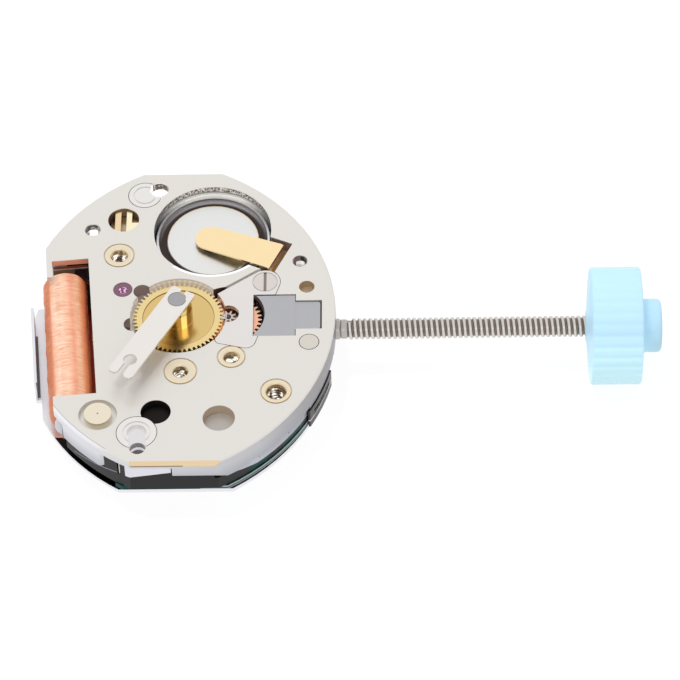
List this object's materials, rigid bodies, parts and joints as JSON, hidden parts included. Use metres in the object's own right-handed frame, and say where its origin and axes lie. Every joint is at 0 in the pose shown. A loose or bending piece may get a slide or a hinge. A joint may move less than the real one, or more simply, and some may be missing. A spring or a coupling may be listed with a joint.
{
  "type": "quartz watch movement",
  "caption": "Small oval quartz watch movement with battery and coil, dial side up, with stem and setting crown.",
  "frame": {"origin": "on the axis of the hands, level with the dial side of the plate", "axes": "+X out along the winding stem towards the crown, +Y towards twelve o'clock, +Z towards the dial"},
  "size_m": [0.026, 0.0156, 0.0049],
  "materials": {
    "plated_brass": "satin",
    "raw_brass": "satin",
    "gilt_brass": "satin",
    "copper_brass": "satin",
    "gilt_spring": "polished",
    "bright_steel": "satin",
    "grey_steel": "brushed",
    "dark_steel": "brushed",
    "cell_steel": "polished",
    "magnet": "satin",
    "ruby": "polished",
    "copper_wire": "glossy enamel",
    "black_plastic": "matte",
    "olive_plastic": "matte",
    "seal_plastic": "matte",
    "amber_film": "satin",
    "board_green": "satin",
    "crown_plastic": "satin",
    "can_metal": "polished"
  },
  "bodies": {
    "movement": {"main_plate": "plated_brass", "screw_pillar_upper_left": "raw_brass", "screw_pillar_lower": "raw_brass", "screw_pillar_open": "raw_brass", "screw_pillar_right": "raw_brass", "locating_pin": "raw_brass", "contact_eccentric": "raw_brass", "plate_jewel": "ruby", "minute_train_bridge": "bright_steel", "bridge_screw": "grey_steel", "battery_can": "cell_steel", "battery_gasket": "seal_plastic", "battery_cap": "cell_steel", "contact_strap": "gilt_spring", "contact_insulator": "amber_film", "setting_cover": "grey_steel", "coil_winding": "copper_wire", "coil_core": "dark_steel", "coil_flanges": "olive_plastic", "stator": "dark_steel", "train_bridge": "plated_brass", "back_jewels": "ruby", "back_screws": "grey_steel", "module_spacer": "black_plastic", "battery_frame": "black_plastic", "circuit_board": "board_green", "quartz_crystal": "can_metal", "logic_chip": "black_plastic", "back_cover": "bright_steel", "side_leaf": "grey_steel", "cover_screws": "grey_steel", "battery_bridle": "bright_steel", "bridle_screw": "grey_steel"},
    "clutch": {"clutch_yoke": "grey_steel"},
    "sliding_pinion": {"sliding_pinion": "grey_steel"},
    "stem": {"stem": "grey_steel", "crown": "crown_plastic"},
    "lever": {"setting_lever": "grey_steel"},
    "cannon": {"cannon_pinion": "bright_steel"},
    "minute_wheel": {"minute_wheel": "copper_brass"},
    "hour_wheel": {"hour_wheel": "gilt_brass"},
    "clip": {"transport_clip": "bright_steel"},
    "intermediate": {"intermediate_wheel": "gilt_brass"},
    "rotor": {"rotor_magnet": "magnet", "rotor_pinion": "grey_steel"},
    "third": {"third_wheel": "gilt_brass"},
    "centre": {"centre_wheel": "gilt_brass"},
    "upper_clamp": {"dial_foot_clamp_upper": "bright_steel"},
    "lower_clamp": {"dial_foot_clamp_lower": "bright_steel"}
  },
  "joints": [
    {"name": "stem_pull", "type": "slide", "parent": "sliding_pinion", "child": "stem", "axis": [1, 0, 0], "range_m": [0, 0.00075]},
    {"name": "clutch_shift", "type": "slide", "parent": "movement", "child": "clutch", "axis": [-1, 0, 0], "range_m": [0, 0.0003]},
    {"name": "crown_turn", "type": "hinge", "parent": "clutch", "child": "sliding_pinion", "pos_m": [0.004, 0, -0.00106], "axis": [1, 0, 0], "continuous": true},
    {"name": "lever_turn", "type": "hinge", "parent": "movement", "child": "lever", "pos_m": [0.00537, -0.00155, -0.00046], "axis": [0, 0, -1], "range_deg": [0, 18]},
    {"name": "minute_turn", "type": "hinge", "parent": "movement", "child": "cannon", "pos_m": [0, 0, -0.00046], "axis": [0, 0, 1], "continuous": true},
    {"name": "minute_wheel_turn", "type": "hinge", "parent": "movement", "child": "minute_wheel", "pos_m": [0.00205, 0, -0.00045], "axis": [0, 0, 1], "continuous": true},
    {"name": "hour_turn", "type": "hinge", "parent": "movement", "child": "hour_wheel", "pos_m": [0, 0, -0.0003], "axis": [0, 0, 1], "continuous": true},
    {"name": "clip_lift", "type": "slide", "parent": "cannon", "child": "clip", "axis": [0, 0, 1], "range_m": [0, 0.003]},
    {"name": "intermediate_turn", "type": "hinge", "parent": "movement", "child": "intermediate", "pos_m": [-0.00232, 0.00137, -0.0012], "axis": [0, 0, 1], "continuous": true},
    {"name": "rotor_turn", "type": "hinge", "parent": "movement", "child": "rotor", "pos_m": [-0.00164, 0.00254, -0.001], "axis": [0, 0, 1], "continuous": true},
    {"name": "third_turn", "type": "hinge", "parent": "movement", "child": "third", "pos_m": [-0.00209, -0.00025, -0.001], "axis": [0, 0, 1], "continuous": true},
    {"name": "centre_turn", "type": "hinge", "parent": "movement", "child": "centre", "pos_m": [0, 0, -0.0009], "axis": [0, 0, 1], "continuous": true},
    {"name": "upper_clamp_turn", "type": "hinge", "parent": "movement", "child": "upper_clamp", "pos_m": [-0.00158, 0.0066, -0.0002], "axis": [0, 0, 1], "range_deg": [0, 90]},
    {"name": "lower_clamp_turn", "type": "hinge", "parent": "movement", "child": "lower_clamp", "pos_m": [-0.00149, -0.00617, -0.0002], "axis": [0, 0, 1], "range_deg": [0, 90]}
  ],
  "couplings": [
    {"joint": "clutch_shift", "follows": "stem_pull", "ratio": 0.4},
    {"joint": "lever_turn", "follows": "stem_pull", "rad_per_m": 418.8},
    {"joint": "minute_wheel_turn", "follows": "minute_turn", "ratio": -0.58333},
    {"joint": "hour_turn", "follows": "minute_turn", "ratio": 0.083333},
    {"joint": "rotor_turn", "follows": "intermediate_turn", "ratio": -8},
    {"joint": "third_turn", "follows": "intermediate_turn", "ratio": -0.13333},
    {"joint": "centre_turn", "follows": "intermediate_turn", "ratio": 0.022222}
  ]
}
